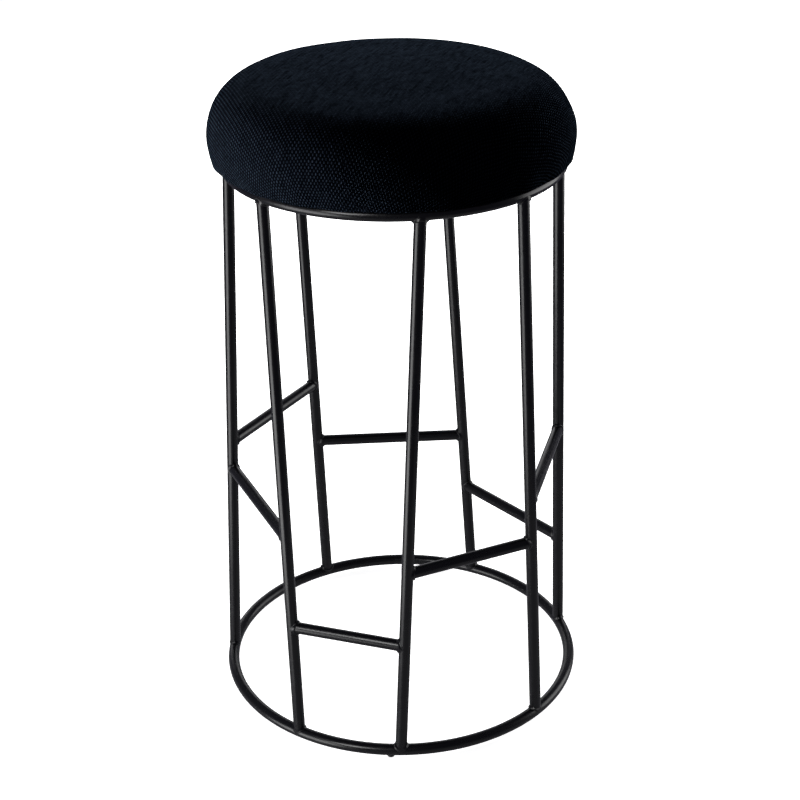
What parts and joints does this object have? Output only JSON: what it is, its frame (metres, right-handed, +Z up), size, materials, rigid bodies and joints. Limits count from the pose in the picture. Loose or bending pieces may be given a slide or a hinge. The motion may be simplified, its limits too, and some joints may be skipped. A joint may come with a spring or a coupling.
{
  "type": "bar stool with footrest",
  "caption": "Backless bar stool: thick round upholstered seat on a tapered cage of slanted steel tubes between two rings, with level foot rungs stepping around it at different heights.",
  "frame": {"origin": "on the floor under the centre of both rings, at the flat undersides of the glides", "axes": "+Z up, -Y toward the front (the side with the lowest pair of rungs to its left and a higher one to its right), +X to the right seen from the front"},
  "size_m": [0.451, 0.451, 0.783],
  "materials": {
    "frame": "satin black powder coat",
    "upholstery": "coarse basket-weave wool, blue-black",
    "foam": "open-cell moulded foam",
    "plywood": "bare plywood",
    "dust_cover": "spun-bonded non-woven",
    "fastener": "zinc plated",
    "staple": "galvanised wire",
    "glide": "black nylon"
  },
  "bodies": {
    "root": {"base_ring": "frame", "base_welds": "frame", "dust_cover": "dust_cover", "foot_rung_1": "frame", "foot_rung_2": "frame", "foot_rung_3": "frame", "foot_rung_4": "frame", "foot_rung_5": "frame", "foot_rung_6": "frame", "foot_rung_7": "frame", "glides": "glide", "mounting_tabs": "frame", "ring_seam_welds": "frame", "rung_welds": "frame", "seat_board": "plywood", "seat_cover": "upholstery", "seat_foam": "foam", "seat_screws": "fastener", "staples": "staple", "tee_nuts": "fastener", "top_ring": "frame", "top_welds": "frame", "upright_1": "frame", "upright_2": "frame", "upright_3": "frame", "upright_4": "frame", "upright_5": "frame", "upright_6": "frame", "upright_7": "frame"}
  },
  "joints": []
}
